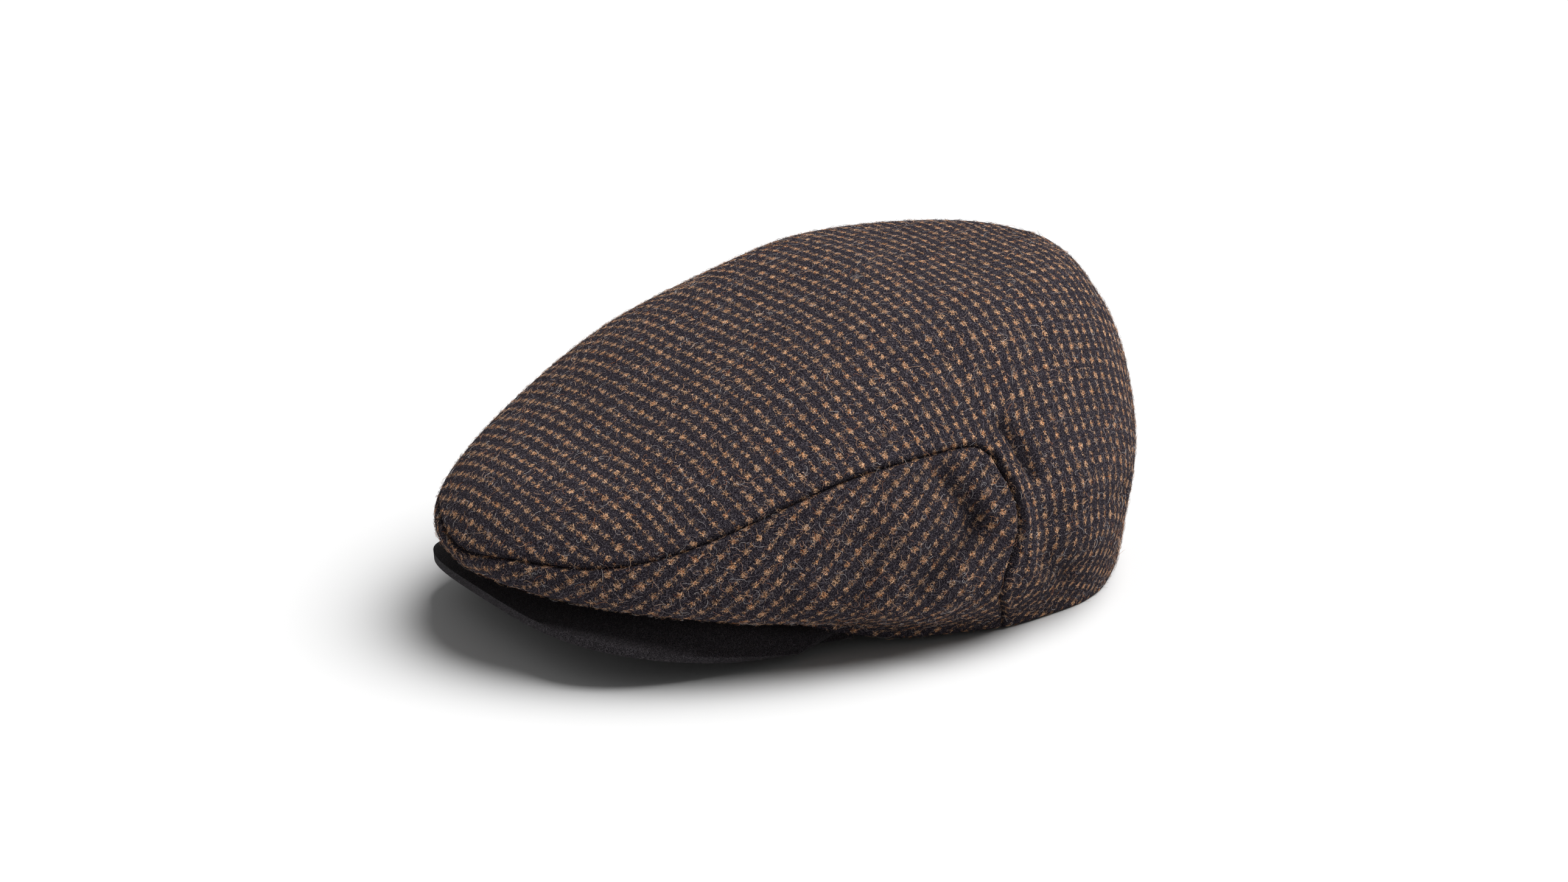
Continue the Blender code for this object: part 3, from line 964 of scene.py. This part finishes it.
# %% [markdown]
# ## Black wool on the peak
#
# The peak is covered in plain black wool with a short nap. One flat black would do from
# afar, but close up it looks like plastic. So a soft grain and thin paler hairs break
# it up. The cover has no weave that must run with a pattern, so this finish reads the
# piece's own coordinates, in millimetres, and needs no flat pattern.

# %% Black wool
WOOL_DARK, WOOL, WOOL_NAP = (0.0034, 0.0028, 0.0038), (0.0240, 0.0205, 0.0245), (0.150, 0.135, 0.148)
WOOL_GRAIN, WOOL_EDGE = {"scale": 3.0, "detail": 1.0, "roughness": 0.6}, (0.38, 0.64)
NAP, NAP_SHARE = {"scale": 2.1, "thickness": 0.10, "offset": 5.0}, 0.40
NAP_HEIGHT, WOOL_RELIEF = 0.4, 0.00025


def make_black_wool():
    """Short-napped black wool, with paler fibres lying in it."""
    material, tree, shader = new_material("black_wool")
    place = in_millimetres(tree, add_node(tree, "ShaderNodeTexCoord").outputs["Object"])
    grain = noise(tree, place, **WOOL_GRAIN)
    nap = strands(tree, place, **NAP)
    colour = blend_colours(tree, fade(tree, grain, *WOOL_EDGE), WOOL_DARK, WOOL)
    colour = blend_colours(tree, sum_of(tree, "MULTIPLY", nap, NAP_SHARE), colour, WOOL_NAP)
    tree.links.new(colour, shader.inputs["Base Color"])
    raise_nap(tree, shader, sum_of(tree, "MULTIPLY_ADD", nap, NAP_HEIGHT, grain), WOOL_RELIEF)
    shader.inputs["Roughness"].default_value = 0.9
    shader.inputs["Specular IOR Level"].default_value = 0.08
    shader.inputs["Sheen Weight"].default_value = 0.06
    shader.inputs["Sheen Roughness"].default_value = 0.5
    print("nodes in the black wool:", len(tree.nodes))
    return material


# %% Make the panels and the peak
tweed = make_tweed()
black_wool = make_black_wool()
top_panel = make_top_panel(tweed)
left_panel = make_side_panel("tweed_side_left", 1, "side_panel_left", tweed)
right_panel = make_side_panel("tweed_side_right", -1, "side_panel_right", tweed)
peak = make_peak(black_wool)
print("faces in the top panel's grid:", len(top_panel.data.polygons))

# %% [markdown]
# ## Loose fibres
#
# Brushed wool is never smooth: curly fibres stand off it, and they are what shows it to
# be soft, most of all along its edge. Hair particles would grow them, but they are only
# a render effect and no part of the model. Here each fibre is a thin closed tube along a
# random curling path, and all fibres of a panel are joined in one mesh. A tuft fibre
# takes its colour from the place where it grows, so tan ones stand on the specks. The
# long curls have a finish of their own, in which each is grey, tan or cream by chance.

# %% The finish of the long curls
PALE_FIBRE, FEW_PALE, TAN_CHANCE = (0.95, 0.91, 0.89), 2.2, (0.62, 0.70)


def make_pale_fibre():
    """Loose fibres, each of its own colour between grey, tan and cream."""
    material, tree, shader = new_material("pale_fibre")
    uv = add_node(tree, "ShaderNodeUVMap", uv_map="cloth").outputs[0]
    draw = add_node(tree, "ShaderNodeTexWhiteNoise", {"Vector": uv}).outputs["Color"]
    luck = add_node(tree, "ShaderNodeSeparateColor", {"Color": draw}).outputs
    colour = blend_colours(tree, sum_of(tree, "POWER", luck[0], FEW_PALE), GREY_FIBRE, PALE_FIBRE)
    tan = blend_colours(tree, luck[1], TAN, TAN_LIGHT)
    colour = blend_colours(tree, fade(tree, luck[2], *TAN_CHANCE), colour, tan)
    # The curls get the same painted shade in folds and seams.
    tree.links.new(in_painted_shade(tree, colour), shader.inputs["Base Color"])
    shader.inputs["Roughness"].default_value = 0.7
    shader.inputs["Specular IOR Level"].default_value = 0.2
    print("nodes in the pale fibre:", len(tree.nodes))
    return material


# %% Random places on a piece's outer face
CAP_MIDDLE = (0.0, 15.0, 30.0)


def outer_places(piece, count, rng):
    """Places spread evenly over the outer face, each with its normal, its place on the
    flat pattern and its painted shade."""
    mesh = piece.data
    mesh.calc_loop_triangles()
    corners = numbers_of(mesh.loop_triangles, "vertices", 3, int)
    loops = numbers_of(mesh.loop_triangles, "loops", 3, int)
    spots = numbers_of(mesh.vertices, "co", 3)
    flat = numbers_of(mesh.uv_layers["cloth"].data, "uv", 2)
    a, b, c = spots[corners].transpose(1, 0, 2)
    normal = np.cross(b - a, c - a)
    outer = ((a - np.array(CAP_MIDDLE) * MM) * normal).sum(1) > 0.0
    chance = np.where(outer, np.linalg.norm(normal, axis=1), 0.0)
    pick = rng.choice(len(chance), count, p=chance / chance.sum())
    share = rng.dirichlet((1.0, 1.0, 1.0), count)[..., None]
    painted_shades = numbers_of(mesh.attributes["painted_shade"].data, "value")
    return {
        "point": (share * spots[corners[pick]]).sum(1),
        "normal": unit(normal[pick]),
        "flat": (share * flat[loops[pick]]).sum(1),
        "painted_shade": (share * painted_shades[corners[pick]]).sum(1)[:, 0],
    }


# %% Curling paths: each kind's lengths in millimetres, and the shares by which they vary
TUFT = {"length": 1.9, "lift": 0.50, "curl": 1.4, "steps": 2, "radius": 0.045}
CURL = {"length": 3.3, "lift": 0.60, "curl": 3.4, "steps": 5, "radius": 0.043}
FIBRE_ROOT, SECOND_CURL, ARCH_END = 0.05, 0.35, 0.85
LENGTH_VARIES, LIFT_VARIES = (0.35, 1.65), (0.3, 1.3)


def curling_paths(places, rng, kind):
    """Middle lines, in metres, of fibres that curl along the cloth and rise off it. At
    the hem they lie on the table."""
    point, normal = places["point"], places["normal"]
    curl, steps, count = kind["curl"], kind["steps"], len(point)
    along = rng.normal(size=(count, 3))
    along = unit(along - (along * normal).sum(1, keepdims=True) * normal)
    across = np.cross(normal, along)
    share = np.linspace(0.0, 1.0, steps + 1)
    heading = curl * rng.normal(size=(count, 1)) * share
    heading = heading + SECOND_CURL * curl * rng.normal(size=(count, 1)) * np.sin(math.pi * share)
    step = kind["length"] * MM * rng.uniform(*LENGTH_VARIES, (count, 1)) / steps
    run = np.cumsum(np.cos(heading) * step, axis=1) - np.cos(heading) * step
    sway_out = np.cumsum(np.sin(heading) * step, axis=1) - np.sin(heading) * step
    lift = kind["lift"] * MM * rng.uniform(*LIFT_VARIES, (count, 1))
    rise = lift * np.sin(ARCH_END * math.pi * share)
    path = point[:, None] + run[..., None] * along[:, None] + sway_out[..., None] * across[:, None]
    path = path + (rise - FIBRE_ROOT * MM)[..., None] * normal[:, None]
    path[..., 2] = np.maximum(path[..., 2], kind["radius"] * MM)
    return path


print("a tuft is about", TUFT["length"], "mm long, and a long curl", CURL["length"], "mm")

# %% Thin closed tubes along the paths, joined in one mesh
FIBRE_SIDES, FIBRE_TAPER = 3, 0.45


def tubes(paths, normal, radius):
    """Vertices and faces of a closed tube round each path."""
    count, rings = paths.shape[:2]
    forward = unit(np.gradient(paths, axis=1))
    side = unit(np.cross(forward, normal[:, None]) + 1e-6)
    other = np.cross(forward, side)
    size = radius * MM * (1.0 - FIBRE_TAPER * np.linspace(0.0, 1.0, rings) ** 2)
    points = []
    for turn in np.arange(FIBRE_SIDES) * math.tau / FIBRE_SIDES:
        reach = math.cos(turn) * side + math.sin(turn) * other
        points.append(paths + size[:, None] * reach)
    points = np.stack(points, 2)
    number = np.arange(points.size // 3).reshape(count, rings, FIBRE_SIDES)
    after = np.roll(number, -1, axis=2)
    walls = [number[:, :-1], after[:, :-1], after[:, 1:], number[:, 1:]]
    walls = np.stack(walls, -1).reshape(-1, 4)
    ends = np.concatenate([number[:, 0, ::-1], number[:, -1]])
    return points.reshape(-1, 3), walls.tolist() + ends.tolist()


def grow_fibres(name, places, rng, kind, material):
    """One mesh of many fibres; each keeps the flat-pattern place that it grows from."""
    paths = curling_paths(places, rng, kind)
    points, faces = tubes(paths, places["normal"], kind["radius"])
    mesh = bpy.data.meshes.new(name)
    mesh.from_pydata(points, [], faces)
    mesh.materials.append(material)
    mesh.shade_smooth()
    layer = mesh.uv_layers.new(name="cloth")
    each = len(points) // len(paths)
    owner = numbers_of(mesh.loops, "vertex_index", 1, int)[:, 0] // each
    layer.data.foreach_set("uv", places["flat"][owner].ravel())
    # Each fibre carries the painted shade of the place where it grows.
    painted_shade = mesh.attributes.new("painted_shade", "FLOAT", "POINT")
    painted_shade.data.foreach_set("value", np.repeat(places["painted_shade"], each))
    fibres = bpy.data.objects.new(name, mesh)
    bpy.context.scene.collection.objects.link(fibres)
    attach(fibres, "root")
    print(f"{name}: {len(paths)} fibres, {2 * (len(faces) - len(paths))} triangles")


# %% Fibres on the tweed: tufts on the specks, and long pale curls
TRIES_FOR_EACH_TUFT, SPREAD_ON_SPECK = 18, (0.3, 1.15)


def on_specks(flat, rng):
    """Which places lie on a speck of the weave."""
    cell = np.array([SPECK_ACROSS, SPECK_LENGTHWISE]) * MM
    chosen = np.zeros(len(flat), bool)
    for shift, size in ((0.0, LARGE_SPECK), (SMALL_SPECK_AT, SMALL_SPECK)):
        share = (flat / cell + np.array([0.5 - shift, 0.5])) % 1.0 - 0.5
        away = np.linalg.norm(share * cell, axis=1)
        chosen |= away < size * MM * rng.uniform(*SPREAD_ON_SPECK, len(flat))
    return chosen


def fur(panel, tufts, curls, seed):
    """Both kinds of loose fibre on one panel."""
    rng = np.random.default_rng(seed)
    places = outer_places(panel, TRIES_FOR_EACH_TUFT * tufts, rng)
    chosen = np.flatnonzero(on_specks(places["flat"], rng))[:tufts]
    places = {name: values[chosen] for name, values in places.items()}
    name = panel.name.replace("tweed", "tufts")
    grow_fibres(name, places, rng, TUFT, tweed)
    name = panel.name.replace("tweed", "curls")
    grow_fibres(name, outer_places(panel, curls, rng), rng, CURL, pale_fibre)


pale_fibre = make_pale_fibre()
fur(top_panel, tufts=12500, curls=6100, seed=1)
fur(left_panel, tufts=3400, curls=1760, seed=2)
fur(right_panel, tufts=3400, curls=1760, seed=3)

# %% [markdown]
# ## The table, the light and the camera
#
# The cap lies on a white ground in the soft light of large white screens. Area lamps
# could stand in for the screens, but a sun with a wide angle gives the same even light
# and has no place to be set. One screen, high up on the right, lights the top, and a
# weak one on the left and the white room fill the shade. The camera stands in front, on
# the wearer's left, a little above the table.

# %% The table
TABLE_SIZE, TABLE_DROP, TABLE_COLOUR = 8.0, 0.0003, (0.68, 0.68, 0.68)

bpy.ops.mesh.primitive_plane_add(size=TABLE_SIZE, location=(0.0, 0.0, -TABLE_DROP))
table = bpy.context.object
table.name = "table"
table_finish, _, table_shader = new_material("pale_table")
table_shader.inputs["Base Color"].default_value = (*TABLE_COLOUR, 1.0)
table_shader.inputs["Roughness"].default_value = 0.9
table.data.materials.append(table_finish)
print("table:", TABLE_SIZE, "m wide")

# %% The light
ROOM_LIGHT = 0.19


def soft_sun(name, towards, strength, spread):
    """A wide, even light from a direction, as from a big screen of white cloth."""
    data = bpy.data.lights.new(name, "SUN")
    data.energy = strength
    data.angle = math.radians(spread)
    lamp = bpy.data.objects.new(name, data)
    lamp.location = towards
    lamp.rotation_euler = Vector(towards).to_track_quat("Z", "Y").to_euler()
    bpy.context.scene.collection.objects.link(lamp)
    print(f"{name}: strength {strength}, {spread} degrees wide")


soft_sun("screen_behind_right", (0.17, 0.46, 0.87), 4.8, 55.0)
soft_sun("screen_front_left", (-0.25, -0.75, 0.60), 0.14, 70.0)

world = bpy.data.worlds.new("studio")
world.use_nodes = True
background = world.node_tree.nodes["Background"]
background.inputs["Color"].default_value = (1.0, 1.0, 1.0, 1.0)
background.inputs["Strength"].default_value = ROOM_LIGHT
bpy.context.scene.world = world

# %% The camera
CAMERA_AZIMUTH, CAMERA_ELEVATION, CAMERA_DISTANCE = 57.0, 19.66, 1.6
CAMERA_TARGET = Vector((-0.027, 0.0155, 0.040))
CAMERA_LENS = 100.6

azimuth, elevation = math.radians(CAMERA_AZIMUTH), math.radians(CAMERA_ELEVATION)
towards = Vector(
    (
        math.sin(azimuth) * math.cos(elevation),
        -math.cos(azimuth) * math.cos(elevation),
        math.sin(elevation),
    )
)
camera_data = bpy.data.cameras.new("camera")
camera_data.lens = CAMERA_LENS
camera_data.sensor_width = 36.0
camera = bpy.data.objects.new("camera", camera_data)
camera.location = CAMERA_TARGET + CAMERA_DISTANCE * towards
camera.rotation_euler = (-towards).to_track_quat("-Z", "Y").to_euler()
bpy.context.scene.collection.objects.link(camera)
bpy.context.scene.camera = camera
bpy.context.scene.view_settings.view_transform = "Standard"
print("camera:", CAMERA_DISTANCE, "m away,", CAMERA_ELEVATION, "degrees up")
